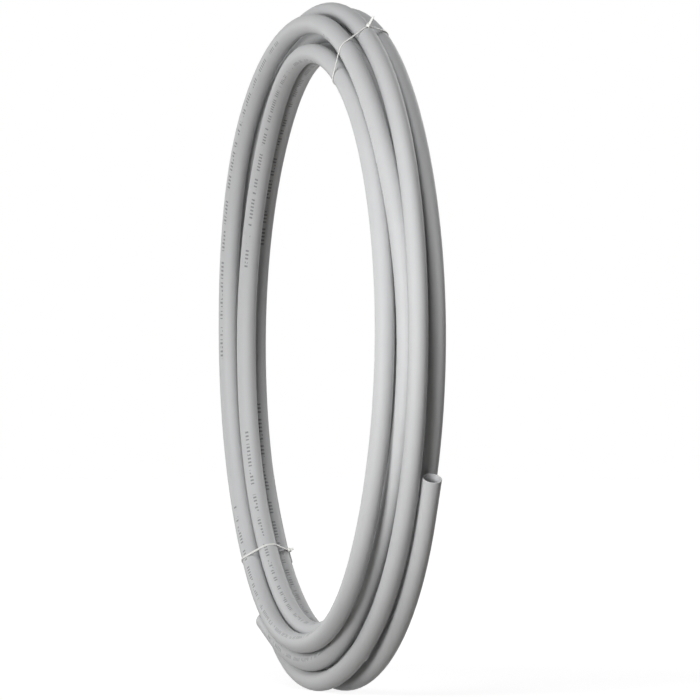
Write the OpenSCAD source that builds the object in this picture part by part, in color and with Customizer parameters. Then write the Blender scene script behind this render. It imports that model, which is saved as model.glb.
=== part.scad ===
// Coil of plain plastic pipe, wound in an oval ring of six and a bit turns and tied in two places.
// Stands upright on the two turns that reach lowest. Millimetres. X runs across the coil, Y from its
// front face back, Z up. Origin: middle of the coil's width and thickness, on the floor.

/* [Pipe] */
// Outside diameter of the pipe
pipe_od = 20; // [16:1:20]
// Wall thickness of the pipe
wall = 1.5; // [1:0.1:2.5]
// Straight length at the outer cut end, on the right
outer_end_straight = 45; // [30:1:60]
// Straight length at the inner cut end, low on the left
inner_end_straight = 45; // [30:1:60]

/* [Coil] */
// Angle at which the outer end's bend starts, clockwise from the +X side
start_angle = 30; // [20:1:40]
// Angle wound from the outer end to the inner one
wound_angle = 2240; // [2176:8:2248]
// Wound angle between neighbouring sections of the bent pipe
section_step = 8; // [5:1:12]
// Extra radius added to every turn
grow = 0; // [0:5:200]

/* [Ties] */
// Width of the tie's strap
strap_w = 2.5; // [2:0.1:4]
// Thickness of the strap
strap_t = 1; // [0.8:0.1:1.5]
// Gap between the strap and the pipe it goes round
strap_gap = 0.3; // [0.2:0.1:1]
// Size of the strap's locking head, along the strap and across it
head_size = 4; // [3.5:0.1:6]
// Height of the head above the pipe
head_h = 3.4; // [3:0.1:6]
// Length of the tail left standing on the head of the upper tie
tail_len = 9; // [3:1:30]
// Place of the upper tie round the coil, anticlockwise from the +X side
upper_angle = 65.5; // [60:0.5:80]
// Place of the lower tie round the coil, anticlockwise from the +X side
lower_angle = 226; // [218:0.5:232]

/* [Hidden] */
pipe_r = pipe_od / 2;
bore_r = pipe_r - wall;
// The head is always a little wider than the strap that runs through it
head_w = max(head_size, strap_w + 0.5);
end_angle = start_angle + wound_angle;
n_sections = round(wound_angle / section_step);
// Sides of the bent pipe's outline and of its bore. Each is a multiple of four.
outer_sides = 12;
inner_sides = 8;
round_fn = 48;
strand_fn = 32;
// Short neck where the bent pipe goes inside the wall of a straight end
neck_len = 2;
neck_in = 0.1;
neck_gap = 0.2;
neck_slope = 1;
cut = 1;

// The bundle's own circle, and the room that one pipe takes in the bundle
bundle_r = 320 + grow;
pipe_room = 20.5;
quarter = pipe_room / 4;

// Place of the pipe in the bundle at every eighth of a turn, as it winds clockwise: how far outward and
// how far back from the bundle's middle, in quarters of a pipe's room. One row is one turn, at the
// right, lower right, bottom, lower left, left, upper left, top and upper right. Turns cross over each
// other, as they do in a coil wound by hand.
eighth = 45;
places = [
  [4.5, 4], [5.5, 4.5], [5.5, 4.5], [6, 5], [8, 6], [7, 6], [3.5, 5.5], [2, 5],
  [0.5, 5], [1, 4.5], [1.5, 3], [2, 5], [4, 4.5], [5.5, 2], [4.5, 1.5], [5, 1],
  [5, 0], [5, 0], [5.5, -1], [5.5, 1], [2.5, 0.5], [1, 0.5], [0.5, 2.5], [-1, 1.5],
  [-2.5, 2], [-3, 2], [-2.5, 2.5], [-3, 3], [-2.5, 3.5], [-3.5, 3], [-3.5, 1.5], [-5, 1],
  [-5.5, -1.5], [-5, -1.5], [-4.5, -1.5], [-6.5, -0.5], [-7, 0], [-6.5, -0.5], [-4, -3], [-2, -4],
  [-1, -5], [2, -6.5], [-2.5, -5.5], [-2.5, -3], [-2, -2.5], [-0.5, -3.5], [2, -3], [3, -3],
  [0.5, -1], [0, -2], [1.5, -2.5], [0.5, -3.5]
];

// A point of a smooth curve through four values, f of the way from b to c
function blend(a, b, c, d, f) =
  b + 0.5 * f * (c - a + f * (2 * a - 5 * b + 4 * c - d + f * (3 * (b - c) + d - a)));

// Radius and set-back at one of those places
function station(i) = let (p = places[max(0, min(len(places) - 1, i))])
  [bundle_r, 0] + p * quarter;

// Radius and set-back of the pipe at a wound angle
function lie(t) =
  let (u = t / eighth, i = floor(u))
  blend(station(i - 1), station(i), station(i + 1), station(i + 2), u - i);

// Centre of the pipe at a wound angle, about the coil's own centre
function centre(t) = let (p = lie(t)) [p[0] * cos(t), p[1], -p[0] * sin(t)];

function unit(v) = v / norm(v);

// Step of the centre line at a wound angle, for one degree of winding
function stride(t) = centre(t + 0.5) - centre(t - 0.5);

// Axes of a section: away from the coil's centre, across, and along the winding
function section_axes(t) =
  let (h = unit(stride(t)), r = [cos(t), 0, -sin(t)], a = unit(r - (r * h) * h))
  [a, cross(h, a), h];

// Ring of points round the centre line, moved by a distance along it
function ring(t, along, r, sides) =
  let (x = section_axes(t), p = centre(t) + along * x[2])
  [for (i = [0:sides - 1]) p + r * (cos(360 * i / sides) * x[0] + sin(360 * i / sides) * x[1])];

// All the rings of one skin of the bent pipe. Its necks have a radius of their own.
function rings(r, neck_r, sides) = concat(
  [ring(start_angle, -neck_len, neck_r, sides)],
  [ring(start_angle, neck_gap, neck_r, sides)],
  [ring(start_angle, neck_slope, r, sides)],
  [for (i = [1:n_sections - 1]) ring(start_angle + i * wound_angle / n_sections, 0, r, sides)],
  [ring(end_angle, -neck_slope, r, sides)],
  [ring(end_angle, -neck_gap, neck_r, sides)],
  [ring(end_angle, neck_len, neck_r, sides)]
);

// Four-sided patches between neighbouring rings
function skin(n, sides, first, flip) =
  [for (k = [0:n - 2], i = [0:sides - 1])
    let (
      j = (i + 1) % sides,
      a = first + k * sides + i,
      b = first + k * sides + j,
      c = first + (k + 1) * sides + j,
      d = first + (k + 1) * sides + i
    )
    flip ? [d, c, b, a] : [a, b, c, d]];

// Flat end of the wall, between the first points of an outer and an inner ring. The two rings have
// four directions in common, so it is laid as four like quarters of five triangles.
function end_face(o, i, flip) =
  [for (q = [0:3], f = [[0, 1, 4], [1, 5, 4], [1, 2, 5], [2, 6, 5], [2, 3, 6]])
    let (
      outer_q = outer_sides / 4,
      inner_q = inner_sides / 4,
      at = [
        o + outer_q * q, o + outer_q * q + 1, o + outer_q * q + 2,
        o + (outer_q * (q + 1)) % outer_sides,
        i + inner_q * q, i + inner_q * q + 1, i + (inner_q * (q + 1)) % inner_sides
      ],
      face = [for (k = f) at[k]]
    )
    flip ? [face[2], face[1], face[0]] : face];

// The bent length: one hollow skin that follows the route from end to end
module bent_length() {
  outer_rings = rings(pipe_r, pipe_r - neck_in, outer_sides);
  inner_rings = rings(bore_r, (bore_r + neck_in) / cos(180 / inner_sides), inner_sides);
  n = len(outer_rings);
  base = n * outer_sides;
  polyhedron(
    points = concat([for (r = outer_rings) each r], [for (r = inner_rings) each r]),
    faces = concat(
      skin(n, outer_sides, 0, true),
      skin(n, inner_sides, base, false),
      end_face(0, base, false),
      end_face((n - 1) * outer_sides, base + (n - 1) * inner_sides, true)
    ),
    convexity = 12
  );
}

// Puts its children at a point, with their X, Y and Z along three axes
module placed(p, axes) {
  multmatrix([
    [axes[0][0], axes[1][0], axes[2][0], p[0]],
    [axes[0][1], axes[1][1], axes[2][1], p[1]],
    [axes[0][2], axes[1][2], axes[2][2], p[2]],
    [0, 0, 0, 1]
  ])
    children();
}

// Straight end with a square cut and its true bore
module cut_end(length) {
  difference() {
    cylinder(h = length, r = pipe_r, $fn = round_fn);
    translate([0, 0, -cut]) cylinder(h = length + 2 * cut, r = bore_r, $fn = round_fn);
  }
}

// Bounds of the coil, which put its middle over the origin and its lowest turn on the floor
sections = [for (i = [0:n_sections]) start_angle + i * wound_angle / n_sections];
across = [for (t = sections) centre(t)[0]];
through = [for (t = sections) centre(t)[1]];
low = [for (t = sections) (lie(t)[0] + pipe_r) * sin(t)];
coil_centre = [
  -(max(across) + min(across)) / 2,
  -(max(through) + min(through)) / 2,
  max(low)
];

module pipe() {
  color([0.78, 0.79, 0.80])
    translate(coil_centre) {
      bent_length();
      placed(centre(start_angle), section_axes(start_angle)) mirror([0, 0, 1]) cut_end(outer_end_straight);
      placed(centre(end_angle), section_axes(end_angle)) cut_end(inner_end_straight);
    }
}

// A tie lies in a plane across the strands, through the middle of the bundle. Its lean is how far it
// goes along the winding, for each millimetre outward and for each millimetre back.
upper_lean = [0.1, -0.65];
lower_lean = [0.38, 0.14];

function tie_middle(angle) = bundle_r * [cos(angle), 0, sin(angle)];

// Axes of that plane: outward, towards the front, and square to the plane
function tie_axes(angle, lean) =
  let (
    r = [cos(angle), 0, sin(angle)],
    n = unit([sin(angle), 0, -cos(angle)] - [lean[0] * r[0], lean[1], lean[0] * r[2]]),
    a = unit(r - (r * n) * n)
  )
  [a, cross(n, a), n];

// Centre of the pipe where it runs straight from one section to the next
function between_sections(t) =
  let (step = wound_angle / n_sections, u = (t - start_angle) / step, i = floor(u), f = u - i)
  (1 - f) * centre(start_angle + i * step) + f * centre(start_angle + (i + 1) * step);

// Wound angle at which the pipe crosses a plane, closing in from a first guess
function crossing(t, p, n, tries) =
  tries == 0 ? t : crossing(t - (between_sections(t) - p) * n / (stride(t) * n), p, n, tries - 1);

// Where the strands cross the plane of a tie: middle in that plane, slanting direction, and stretch.
// A strand that crosses at a slant is an ellipse, longer by the stretch in its slanting direction.
function strands(angle, lean) =
  let (p = tie_middle(angle), x = tie_axes(angle, lean))
  [for (k = [1:ceil(end_angle / 360)])
    let (
      t = crossing(360 * k - angle, p, x[2], 4),
      h = unit(stride(t)),
      q = between_sections(t) - p
    )
    if (t > start_angle && t < end_angle)
      [[q * x[0], q * x[1]], unit([h * x[0], h * x[1]]), 1 / (h * x[2])]];

// Outline round the strands in the plane of a tie
module bundle(angle, lean) {
  hull()
    for (s = strands(angle, lean))
      translate(s[0])
        rotate(atan2(s[1][1], s[1][0]))
          scale([s[2], 1])
            circle(r = pipe_r, $fn = strand_fn);
}

// How far the strands reach from the middle of the bundle in one direction
function reach(angle, lean, direction) =
  max([for (s = strands(angle, lean))
    let (
      ray = [cos(direction), sin(direction)],
      across = [-s[1][1], s[1][0]],
      d = [ray * s[1] / s[2], ray * across],
      q = [s[0] * s[1] / s[2], s[0] * across],
      room = (q * d) * (q * d) - (d * d) * (q * q - pipe_r * pipe_r)
    )
    room > 0 ? (q * d + sqrt(room)) / (d * d) : 0]);

// Part of the outline between two distances outside the pipe
module layer(from, to, angle, lean) {
  difference() {
    offset(r = to, $fn = strand_fn) bundle(angle, lean);
    offset(r = from, $fn = strand_fn) bundle(angle, lean);
  }
}

// Raises a flat shape on both sides of the tie's plane, along the strands
module along_strands(width) {
  translate([0, 0, -width / 2]) linear_extrude(height = width) children();
}

// Keeps what lies in a strip that runs out from the middle of the bundle in one direction
module in_strip(direction, width) {
  intersection() {
    children();
    rotate(direction) translate([0, -width / 2]) square([bundle_r, width]);
  }
}

// Cut tail of a tie. It leaves the middle of the head, turned away from straight out.
module tail_strip(angle, lean, head_at, turn, length) {
  difference() {
    rotate(head_at)
      translate([reach(angle, lean, head_at) + head_h / 2, 0])
        rotate(turn) translate([0, -strap_t / 2]) square([head_h / 2 + length, strap_t]);
    offset(r = strap_gap, $fn = strand_fn) bundle(angle, lean);
  }
}

// Strap, head and tail of a tie. Directions are measured from outward to the front.
module tie(angle, lean, head_at, turn, tail) {
  x = tie_axes(angle, lean);
  strand = [sin(angle), 0, -cos(angle)];
  color([0.93, 0.93, 0.90])
    translate(coil_centre)
      placed(tie_middle(angle), [x[0], x[1], strand]) {
        along_strands(strap_w) layer(strap_gap, strap_gap + strap_t, angle, lean);
        along_strands(head_w) in_strip(head_at, head_size) layer(strap_gap, head_h, angle, lean);
        along_strands(strap_w) tail_strip(angle, lean, head_at, turn, tail);
      }
}

upper_head_at = -12;
upper_tail_turn = -18;
lower_head_at = 223;
lower_tail = 3;

module tie_upper() {
  tie(upper_angle, upper_lean, upper_head_at, upper_tail_turn, tail_len);
}

module tie_lower() {
  tie(lower_angle, lower_lean, lower_head_at, 0, lower_tail);
}

pipe();
tie_upper();
tie_lower();
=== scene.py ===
import math

import bpy
import mathutils
import numpy as np
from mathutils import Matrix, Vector


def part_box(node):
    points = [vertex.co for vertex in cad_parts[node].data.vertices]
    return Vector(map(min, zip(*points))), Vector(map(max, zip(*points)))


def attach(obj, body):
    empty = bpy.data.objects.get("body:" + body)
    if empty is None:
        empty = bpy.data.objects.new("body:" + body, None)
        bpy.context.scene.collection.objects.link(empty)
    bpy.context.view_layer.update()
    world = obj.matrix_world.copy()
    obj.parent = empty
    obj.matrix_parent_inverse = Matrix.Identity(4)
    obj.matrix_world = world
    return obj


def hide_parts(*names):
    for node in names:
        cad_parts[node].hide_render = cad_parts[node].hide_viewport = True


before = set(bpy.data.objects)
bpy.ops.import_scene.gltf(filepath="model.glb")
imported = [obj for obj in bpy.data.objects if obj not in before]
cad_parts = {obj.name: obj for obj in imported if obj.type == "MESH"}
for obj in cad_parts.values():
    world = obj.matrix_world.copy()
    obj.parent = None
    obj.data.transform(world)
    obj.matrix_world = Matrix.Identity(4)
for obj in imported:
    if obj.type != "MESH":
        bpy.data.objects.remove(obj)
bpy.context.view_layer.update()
MM = 0.001

# ---------------------------------------------------------------- the pipe and its route

PIPE_R = 10.0
BORE_R = 8.5
OUTER_STRAIGHT = 45.0
INNER_STRAIGHT = 45.0
START, END = 30.0, 2270.0            # wound angles, in degrees, where the straight ends begin
EIGHTH = 45.0

SIDES = 36
WALL_STEP, BORE_STEP = 3, 10         # degrees between the rings of the outside and of the bore
RIM_CUT = 0.25                       # broken edges of the two cut ends

# The pipe's place in the bundle at the right, lower right, bottom, lower left, left, upper left, top
# and upper right: how far outward and how far back from the bundle's middle, in quarters of the room
# that a pipe takes. One row is one turn.
PLACES = np.array([
    [4.5, 4], [5.5, 4.5], [5.5, 4.5], [6, 5], [8, 6], [7, 6], [3.5, 5.5], [2, 5],
    [0.5, 5], [1, 4.5], [1.5, 3], [2, 5], [4, 4.5], [5.5, 2], [4.5, 1.5], [5, 1],
    [5, 0], [5, 0], [5.5, -1], [5.5, 1], [2.5, 0.5], [1, 0.5], [0.5, 2.5], [-1, 1.5],
    [-2.5, 2], [-3, 2], [-2.5, 2.5], [-3, 3], [-2.5, 3.5], [-3.5, 3], [-3.5, 1.5], [-5, 1],
    [-5.5, -1.5], [-5, -1.5], [-4.5, -1.5], [-6.5, -0.5], [-7, 0], [-6.5, -0.5], [-4, -3], [-2, -4],
    [-1, -5], [2, -6.5], [-2.5, -5.5], [-2.5, -3], [-2, -2.5], [-0.5, -3.5], [2, -3], [3, -3],
    [0.5, -1], [0, -2], [1.5, -2.5], [0.5, -3.5],
], float)
BUNDLE_R, PIPE_ROOM = 320.0, 20.5
ROUTE = [BUNDLE_R, 0] + PLACES * PIPE_ROOM / 4


def unit(v):
    return v / np.linalg.norm(v, axis=-1, keepdims=True)


def lie(t):
    """Radius and set-back at wound angles, on a smooth curve through the places."""
    u = np.atleast_1d(np.asarray(t, float)) / EIGHTH
    i = np.floor(u).astype(int)
    f = (u - i)[:, None]
    a, b, c, d = (ROUTE[np.clip(i + k, 0, len(ROUTE) - 1)] for k in (-1, 0, 1, 2))
    return b + 0.5 * f * (c - a + f * (2 * a - 5 * b + 4 * c - d + f * (3 * (b - c) + d - a)))


def around(t):
    """Centre of the pipe about the coil's own centre, in millimetres."""
    p, s = lie(t), np.radians(np.atleast_1d(t))
    return np.stack([p[:, 0] * np.cos(s), p[:, 1], -p[:, 0] * np.sin(s)], 1)


def heading(t):
    t = np.atleast_1d(np.asarray(t, float))
    return unit(around(t + 0.5) - around(t - 0.5))


# The coil's centre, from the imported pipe's own box
low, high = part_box("pipe")
solid_rings = np.arange(START, END + 1, 8)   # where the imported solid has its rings
turns = around(solid_rings)
reach_down = (lie(solid_rings)[:, 0] + PIPE_R) * np.sin(np.radians(solid_rings))
CENTRE = np.array([
    (low.x + high.x) / 2 / MM - (turns[:, 0].max() + turns[:, 0].min()) / 2,
    (low.y + high.y) / 2 / MM - (turns[:, 1].max() + turns[:, 1].min()) / 2,
    low.z / MM + reach_down.max(),
])


# ---------------------------------------------------------------- meshes

def piece(name, points, faces, material, node=None, uv=None, sharp=None):
    """A smooth mesh from points in millimetres, riding on the coil."""
    mesh = bpy.data.meshes.new(name)
    mesh.from_pydata((np.asarray(points) * MM).tolist(), [], [list(map(int, f)) for f in faces])
    mesh.update()
    if uv is not None:
        layer = mesh.uv_layers.new(name="along")
        layer.data.foreach_set("uv", np.asarray(uv, np.float32).ravel())
    for p in mesh.polygons:
        p.use_smooth = True
    if sharp is not None:
        mesh.set_sharp_from_angle(angle=math.radians(sharp))
    mesh.materials.append(material)
    obj = bpy.data.objects.new(name, mesh)
    bpy.context.scene.collection.objects.link(obj)
    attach(obj, "root")
    if node:
        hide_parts(node)
    return obj


def grid_faces(rows, cols, closed_rows=False):
    """Four-sided faces of a grid whose columns close on themselves."""
    out = []
    for k in range(rows if closed_rows else rows - 1):
        n = (k + 1) % rows
        for i in range(cols):
            j = (i + 1) % cols
            out.append([k * cols + i, n * cols + i, n * cols + j, k * cols + j])
    return out


def pipe_shape():
    """The hollow pipe as one skin: along the outside, over the far rim, back down the bore."""
    rows = []   # of each ring: the wound angle it hangs on, its distance past it, its radius

    def stretch(angle, distances, radii):
        rows.extend([angle, d, r] for d, r in zip(distances, radii))

    stretch(START, (-OUTER_STRAIGHT, -OUTER_STRAIGHT + RIM_CUT), (PIPE_R - RIM_CUT, PIPE_R))
    stretch(START, (-30, -15), (PIPE_R, PIPE_R))
    rows.extend([t, 0, PIPE_R] for t in np.arange(START, END + 0.1, WALL_STEP))
    stretch(END, (0, 15, 30), (PIPE_R,) * 3)
    stretch(END, (INNER_STRAIGHT - RIM_CUT, INNER_STRAIGHT), (PIPE_R, PIPE_R - RIM_CUT))
    stretch(END, (INNER_STRAIGHT, INNER_STRAIGHT - RIM_CUT), (BORE_R + RIM_CUT, BORE_R))
    stretch(END, (30, 0), (BORE_R, BORE_R))
    rows.extend([t, 0, BORE_R] for t in np.arange(END - BORE_STEP, START, -BORE_STEP))
    stretch(START, (0, -20), (BORE_R, BORE_R))
    stretch(START, (-OUTER_STRAIGHT + RIM_CUT, -OUTER_STRAIGHT), (BORE_R, BORE_R + RIM_CUT))
    rows = np.array(rows, float)

    t = rows[:, 0]
    h = heading(t)
    s = np.radians(t)
    outward = np.stack([np.cos(s), 0 * s, -np.sin(s)], 1)
    a = unit(outward - (outward * h).sum(1, keepdims=True) * h)
    b = np.cross(h, a)
    p = around(t) + rows[:, 1:2] * h + CENTRE
    phi = 2 * math.pi * np.arange(SIDES) / SIDES
    ring = np.cos(phi)[None, :, None] * a[:, None] + np.sin(phi)[None, :, None] * b[:, None]
    points = (p[:, None] + rows[:, 2, None, None] * ring).reshape(-1, 3)
    run = np.concatenate([[0], np.cumsum(np.linalg.norm(np.diff(p, axis=0), axis=1))]) * MM
    faces = grid_faces(len(rows), SIDES, closed_rows=True)
    uv = []   # metres along the pipe, and the share of a turn about its centre line
    for k in range(len(rows)):
        n = (k + 1) % len(rows)
        far = run[n] if n else run[k]
        for i in range(SIDES):
            one, two = i / SIDES, (i + 1) / SIDES
            uv += [(run[k], one), (far, one), (far, two), (run[k], two)]
    return points, faces, uv


# ---------------------------------------------------------------- finishes

class Wire:
    """A socket of a material. Sums and products of wires add the nodes that work them out."""

    def __init__(self, tree, socket=None):
        self.tree, self.socket = tree, socket

    def node(self, kind, inputs=None, out=0, stops=None, **settings):
        made = self.tree.nodes.new(kind)
        for name, value in settings.items():
            setattr(made, name, value)
        if stops:
            while len(made.color_ramp.elements) < len(stops):
                made.color_ramp.elements.new(0.5)
            for element, (place, shade) in zip(made.color_ramp.elements, stops):
                element.position, element.color = place, (*(shade,) * 3, 1)
        for name, value in (inputs or {}).items():
            if isinstance(value, Wire):
                self.tree.links.new(value.socket, made.inputs[name])
            else:
                made.inputs[name].default_value = value
        return Wire(self.tree, made.outputs[out])

    def maths(self, operation, *values):
        return self.node("ShaderNodeMath", dict(enumerate(values)), operation=operation)

    def __add__(self, other):
        return self.maths("ADD", self, other)

    def __sub__(self, other):
        return self.maths("SUBTRACT", self, other)

    def __rsub__(self, other):
        return self.maths("SUBTRACT", other, self)

    def __mul__(self, other):
        return self.maths("MULTIPLY", self, other)

    def __gt__(self, other):
        return self.maths("GREATER_THAN", self, other)

    def __lt__(self, other):
        return self.maths("LESS_THAN", self, other)

    def __mod__(self, other):
        return self.maths("FLOORED_MODULO", self, other)

    __radd__, __rmul__ = __add__, __mul__


def noise(w, place, scale, detail, **more):
    """A plain noise over a surface, from 0 to 1."""
    values = {"Vector": place, "Scale": scale, "Detail": detail, **more}
    return w.node("ShaderNodeTexNoise", values, out="Fac")


def stretched(w, place, along, across, start=(0.0, 0.0)):
    values = {"Vector": place, "Scale": (along, across, 1.0), "Location": (*start, 0.0)}
    return w.node("ShaderNodeMapping", values)


def shaded(w, shade, colour):
    """A colour, lighter or darker by a shade about 1."""
    grey = w.node("ShaderNodeCombineXYZ", {0: shade, 1: shade, 2: shade})
    return w.node("ShaderNodeVectorMath", {0: grey, 1: colour}, operation="MULTIPLY")


def mixed_colour(w, share, first, second):
    return w.node("ShaderNodeMix", {"Factor": share, 6: first, 7: second}, out=2, data_type="RGBA")


def finish_of(name, colour, roughness, specular=0.5):
    """A new material: its first wire, and its shader with the uniform values set."""
    material = bpy.data.materials.new(name)
    material.use_nodes = True
    shader = material.node_tree.nodes["Principled BSDF"]
    shader.inputs["Base Color"].default_value = (*colour, 1)
    shader.inputs["Roughness"].default_value = roughness
    shader.inputs["Specular IOR Level"].default_value = specular
    return material, Wire(material.node_tree), shader


def feed(wire, shader, socket):
    wire.tree.links.new(wire.socket, shader.inputs[socket])


PIPE_GREY, PIPE_ROUGHNESS, PIPE_GLOSS = (0.585, 0.590, 0.597), 0.52, 0.24
INK, INK_STRENGTH, INK_HALF_WIDTH = (0.13, 0.135, 0.14, 1), 0.62, 0.028
NYLON, NYLON_ROUGHNESS = (0.87, 0.87, 0.84), 0.38


def pipe_plastic():
    material, w, shader = finish_of("pipe_plastic", PIPE_GREY, PIPE_ROUGHNESS, PIPE_GLOSS)
    place = w.node("ShaderNodeTexCoord", out="Object")
    along = w.node("ShaderNodeUVMap", uv_map="along")
    run = w.node("ShaderNodeSeparateXYZ", {0: along})
    turn = Wire(w.tree, run.socket.node.outputs[1])

    # Faint cloudiness of the plastic, and drawn streaks along the pipe
    cloud = noise(w, place, 30.0, 4.0)
    streak = noise(w, stretched(w, along, 2.5, 46.0), 1.0, 3.0)
    grain = noise(w, place, 900.0, 2.0)

    # Rubbed marks where turns slid over each other
    rub_field = noise(w, stretched(w, along, 9.0, 7.0, start=(3.0, 1.0)), 1.0, 6.0, Roughness=0.65)
    rub = w.node("ShaderNodeValToRGB", {"Fac": rub_field}, stops=[(0.60, 0.0), (0.74, 1.0)])

    # A worn line of plain ink bars along the pipe, in broken groups. It drifts slowly round the pipe.
    line_at = 0.36 + (run - 10.2) * -0.036
    off_line = (turn - line_at + 0.5) % 1.0 - 0.5
    in_line = w.maths("ABSOLUTE", off_line) < INK_HALF_WIDTH
    bars = (run % 0.0044) < 0.0021
    groups = ((run % 0.073) < 0.064) * ((run % 0.031) < 0.027) * ((run % 0.61) < 0.44)
    unworn = noise(w, stretched(w, along, 70.0, 9.0), 1.0, 1.0) > 0.42
    ink = in_line * bars * groups * unworn

    shade = 1.0 + (cloud - 0.5) * 0.07 + (streak - 0.5) * 0.05 + (grain - 0.5) * 0.05 + rub * 0.018
    printed = mixed_colour(w, ink * INK_STRENGTH, shaded(w, shade, PIPE_GREY), INK)
    feed(printed, shader, "Base Color")
    roughness = PIPE_ROUGHNESS + (cloud - 0.5) * 0.10 + rub * 0.08 + (grain - 0.5) * 0.10
    feed(roughness, shader, "Roughness")
    height = streak * 0.35 + grain * 0.12 + cloud * 0.5
    bump = w.node("ShaderNodeBump", {"Height": height, "Strength": 0.10, "Distance": 0.0006}, out="Normal")
    feed(bump, shader, "Normal")
    return material


def tie_nylon():
    material, w, shader = finish_of("tie_nylon", NYLON, NYLON_ROUGHNESS)
    cloud = noise(w, w.node("ShaderNodeTexCoord", out="Object"), 220.0, 3.0)
    feed(shaded(w, 0.95 + cloud * 0.10, NYLON), shader, "Base Color")
    feed(0.30 + cloud * 0.2, shader, "Roughness")
    return material


# ---------------------------------------------------------------- ties

STRAP_W, STRAP_T, STRAP_GAP = 2.4, 0.9, 0.15
STRAP_EDGE, STRAP_PITCH = 0.22, 0.9      # rounding of its edges, and the spacing of its sections
HEAD_SIZE, HEAD_H, HEAD_EDGE = 4.0, 3.4, 0.4
TAIL_EDGE = 0.12


class Tie:
    """A tie's plane across the strands, and the taut outline of the strap in it."""

    def __init__(self, angle, lean):
        s = math.radians(angle)
        self.out = np.array([math.cos(s), 0, math.sin(s)])
        self.strand = np.array([math.sin(s), 0, -math.cos(s)])
        self.normal = unit(self.strand - lean[0] * self.out - lean[1] * np.array([0, 1, 0]))
        self.a = unit(self.out - (self.out @ self.normal) * self.normal)
        self.b = np.cross(self.normal, self.a)
        self.middle = BUNDLE_R * self.out
        outline = []
        for k in range(1, math.ceil(END / 360) + 1):
            t = 360 * k - angle
            for _ in range(6):   # steps to the angle at which this turn meets the plane
                stride = (around(t + 0.5) - around(t - 0.5))[0]
                t -= ((around(t)[0] - self.middle) @ self.normal) / (stride @ self.normal)
            if START < t < END:
                outline.extend(self.strand_outline(around(t)[0] - self.middle, heading(t)[0]))
        outline = np.array(outline)
        from_hull = mathutils.geometry.convex_hull_2d([Vector(p) for p in outline])
        hull = outline[from_hull]
        area = np.sum(hull[:, 0] * np.roll(hull[:, 1], -1) - hull[:, 1] * np.roll(hull[:, 0], -1))
        if area < 0:
            hull = hull[::-1]
        self.taut(hull)

    def strand_outline(self, place, h):
        """The oval in which a strand that runs along h meets the plane."""
        centre = np.array([place @ self.a, place @ self.b])
        e = unit(np.array([h @ self.a, h @ self.b]))
        across = np.array([-e[1], e[0]])
        longer = 1 / abs(h @ self.normal)
        return [centre + PIPE_R * (math.cos(f) * longer * e + math.sin(f) * across)
                for f in np.radians(np.arange(0, 360, 5))]

    def taut(self, hull):
        """Even points round the hull, and the way out from each."""
        loop = np.vstack([hull, hull[:1]])
        run = np.concatenate([[0], np.cumsum(np.linalg.norm(np.diff(loop, axis=0), axis=1))])
        n = int(run[-1] / STRAP_PITCH)
        at = np.linspace(0, run[-1], n, endpoint=False)
        flat = np.stack([np.interp(at, run, loop[:, 0]), np.interp(at, run, loop[:, 1])], 1)
        tangent = unit(np.roll(flat, -2, axis=0) - np.roll(flat, 2, axis=0))
        self.flat, self.way_out = flat, np.stack([tangent[:, 1], -tangent[:, 0]], 1)
        self.tangent = tangent

    def world(self, flat, along=0.0):
        """Points of the tie's plane, moved along the strands, in the coil's frame."""
        flat = np.atleast_2d(flat)
        in_plane = flat[:, :1] * self.a + flat[:, 1:] * self.b
        return CENTRE + self.middle + in_plane + np.atleast_1d(along)[:, None] * self.strand

    def strap(self):
        """A flat strap with rounded edges, closed round the bundle."""
        w, t, c = STRAP_W / 2, STRAP_T, STRAP_EDGE
        profile = [(-w, c), (-w + c, 0), (w - c, 0), (w, c), (w, t - c), (w - c, t), (-w + c, t), (-w, t - c)]
        rings = [self.world(self.flat + (STRAP_GAP + up) * self.way_out, along) for along, up in profile]
        points = np.stack(rings, 1).reshape(-1, 3)
        return points, grid_faces(len(self.flat), len(profile), closed_rows=True)

    def block(self, direction):
        """Foot of a block on the strap, with its steps along the strap and out."""
        s = math.radians(direction)
        aim = np.array([math.cos(s), math.sin(s)])
        off_aim = np.abs(self.flat @ np.array([-aim[1], aim[0]]))
        k = int(np.argmax(self.flat @ aim - 3 * off_aim))
        foot = self.world(self.flat[k])[0]
        step = self.tangent[k][0] * self.a + self.tangent[k][1] * self.b
        out = self.way_out[k][0] * self.a + self.way_out[k][1] * self.b
        return foot, step, out


def rounded_block(foot, step, out, side, half, low, high, bevel, taper=1.0):
    """Points and faces of a block with cut corners, between two heights above its foot."""
    levels = [(low, -bevel), (low + bevel, 0), (high - bevel, 0), (high, -bevel)]
    points = []
    for level, (up, draw) in enumerate(levels):
        k = taper if level > 1 else 1.0
        x, y = (half[0] + draw) * k, (half[1] + draw) * k
        c = bevel
        corners = ((x, y - c), (x - c, y), (-x + c, y), (-x, y - c),
                   (-x, -y + c), (-x + c, -y), (x - c, -y), (x, -y + c))
        points += [foot + u * step + v * side + up * out for u, v in corners]
    around_it = [f[::-1] for f in grid_faces(len(levels), 8)]
    bottom, top = list(range(8)), [len(points) - 8 + i for i in reversed(range(8))]
    return np.array(points), around_it + [bottom, top]


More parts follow.
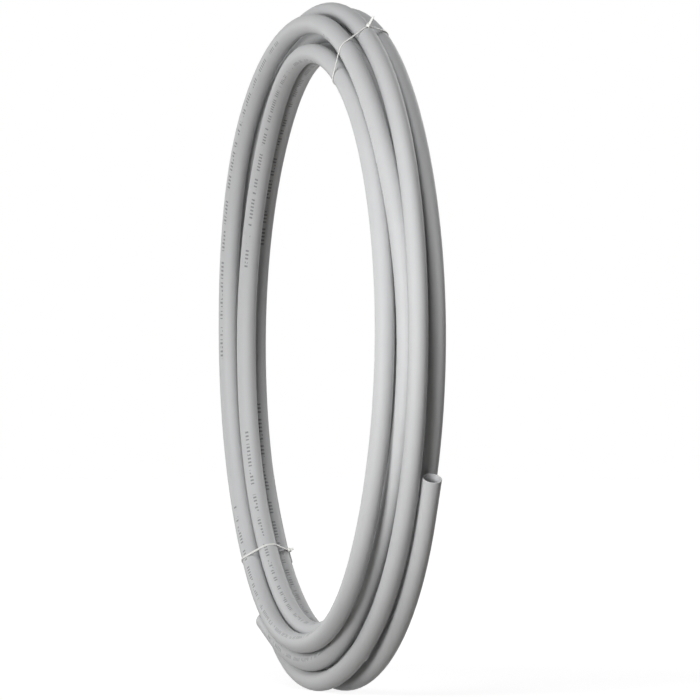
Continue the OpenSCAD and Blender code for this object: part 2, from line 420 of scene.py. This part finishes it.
def make_tie(name, node, angle, lean, head_at, turn, tail, material):
    """A tie: strap, head, and a cut tail that leaves the head turned away from straight out."""
    tie = Tie(angle, lean)
    points, faces = tie.strap()
    piece(name + "_strap", points, faces, material, node, sharp=50)
    foot, step, out = tie.block(head_at)
    side = unit(np.cross(step, out))
    points, faces = rounded_block(foot, step, out, side, (HEAD_SIZE / 2,) * 2, STRAP_GAP, HEAD_H, HEAD_EDGE)
    piece(name + "_head", points, faces, material, sharp=30)
    c, s = math.cos(math.radians(turn)), math.sin(math.radians(turn))
    foot = foot + (HEAD_H / 2) * out
    points, faces = rounded_block(foot, c * step - s * out, c * out + s * step, side,
                                  (STRAP_T / 2, STRAP_W / 2), 0, HEAD_H / 2 + tail, TAIL_EDGE)
    piece(name + "_tail", points, faces, material, sharp=30)


# ---------------------------------------------------------------- the coil

points, faces, uv = pipe_shape()
lowest = points[:, 2].min() * MM
piece("wound_pipe", points, faces, pipe_plastic(), "pipe", uv=uv, sharp=40)
nylon = tie_nylon()
make_tie("upper_tie", "tie_upper", angle=65.5, lean=(0.1, -0.65),
         head_at=-12, turn=-18, tail=9, material=nylon)
make_tie("lower_tie", "tie_lower", angle=226, lean=(0.38, 0.14),
         head_at=223, turn=0, tail=3, material=nylon)


# ---------------------------------------------------------------- floor, light and camera

# Lengths are in metres from here on
FLOOR_RADIUS, FLOOR_SIDES = 14, 96
FLOOR_SEEN, FLOOR_BOUNCE = (0.86, 0.86, 0.86), (0.30, 0.29, 0.27)
FLOOR_GLOW = 1.27
NEAR_SHARE, FAR_SHARE = 0.70, 0.80    # of the glow where the floor is seen, the rest being lit
GLOW_NEAR, GLOW_FAR = 0.6, 1.8        # how far from the middle each share holds
AMBIENT = 0.01
CAMERA_AWAY, LENS = 9.0, 448
VIEW_SINE = 0.28                      # sine of the angle between the view and the coil's width


def looked_at(w):
    """1 where a surface is seen, straight on or in a reflection, and 0 where it only gives light."""
    rays = w.node("ShaderNodeLightPath").socket.node
    camera, glossy, through = (Wire(w.tree, rays.outputs[name])
                               for name in ("Is Camera Ray", "Is Glossy Ray", "Is Transmission Ray"))
    return w.maths("MAXIMUM", camera, w.maths("MAXIMUM", glossy, through))


def white_world():
    world = bpy.data.worlds.new("studio")
    bpy.context.scene.world = world
    world.use_nodes = True
    w = Wire(world.node_tree)
    back = world.node_tree.nodes["Background"]
    back.inputs["Color"].default_value = (1, 1, 1, 1)
    w.tree.links.new((AMBIENT + looked_at(w) * (1.0 - AMBIENT)).socket, back.inputs["Strength"])


def pale_floor(level):
    bpy.ops.mesh.primitive_circle_add(vertices=FLOOR_SIDES, radius=FLOOR_RADIUS, fill_type="NGON",
                                      location=(0, 0, level))
    floor = bpy.context.object
    floor.name = "floor"
    material, w, shader = finish_of("floor_paint", FLOOR_SEEN, 0.9, 0.0)
    seen = looked_at(w)
    feed(mixed_colour(w, seen, (*FLOOR_BOUNCE, 1), (*FLOOR_SEEN, 1)), shader, "Base Color")
    place = w.node("ShaderNodeTexCoord", out="Object")
    away = w.node("ShaderNodeVectorMath", {0: place}, out=1, operation="LENGTH")
    far = w.node("ShaderNodeMapRange", {"Value": away, "From Min": GLOW_NEAR, "From Max": GLOW_FAR})
    glow = w.node("ShaderNodeEmission", {"Color": (1, 1, 1, 1), "Strength": FLOOR_GLOW})
    share = seen * (NEAR_SHARE + far * (FAR_SHARE - NEAR_SHARE))
    mixed = w.node("ShaderNodeMixShader", {0: share, 1: Wire(w.tree, shader.outputs[0]), 2: glow})
    output = w.tree.nodes["Material Output"]
    w.tree.links.new(mixed.socket, output.inputs["Surface"])
    floor.data.materials.append(material)


toward = Vector((math.sqrt(1 - VIEW_SINE ** 2), -VIEW_SINE, 0))   # from the coil to the camera
rightward = Vector((VIEW_SINE, math.sqrt(1 - VIEW_SINE ** 2), 0))
upward = Vector((0, 0, 1))
middle = Vector(CENTRE) * MM


def soft_lamp(name, place, size, power):
    lamp = bpy.data.lights.new(name, "AREA")
    lamp.shape, lamp.size, lamp.energy = "SQUARE", size, power
    obj = bpy.data.objects.new(name, lamp)
    bpy.context.scene.collection.objects.link(obj)
    obj.location = middle + place.x * rightward + place.y * toward + place.z * upward
    obj.rotation_euler = (middle - obj.location).to_track_quat("-Z", "Y").to_euler()


def lamp_at(bearing, height, distance=3.6):
    """Place of a lamp by its bearing from the camera's side, clockwise from above, and its height."""
    a, e = math.radians(bearing), math.radians(height)
    return distance * Vector((math.cos(e) * math.sin(a), math.cos(e) * math.cos(a), math.sin(e)))


white_world()
pale_floor(lowest)
soft_lamp("key", lamp_at(-18, 38, 4.6), 1.6, 90)
soft_lamp("side", lamp_at(-26, -2, 2.5), 0.8, 43)
soft_lamp("rim", lamp_at(-125, 6, 3.0), 1.0, 16)
soft_lamp("back", lamp_at(140, 22), 2.0, 42)

camera = bpy.data.cameras.new("camera")
camera.sensor_width, camera.lens = 36, LENS
camera.clip_start, camera.clip_end = 0.5, 60
eye = bpy.data.objects.new("camera", camera)
bpy.context.scene.collection.objects.link(eye)
aim = middle + 0.030 * rightward - 0.006 * upward
eye.location = middle + CAMERA_AWAY * toward
eye.rotation_euler = (aim - eye.location).to_track_quat("-Z", "Y").to_euler()
bpy.context.scene.camera = eye
bpy.context.scene.view_settings.view_transform = "Standard"
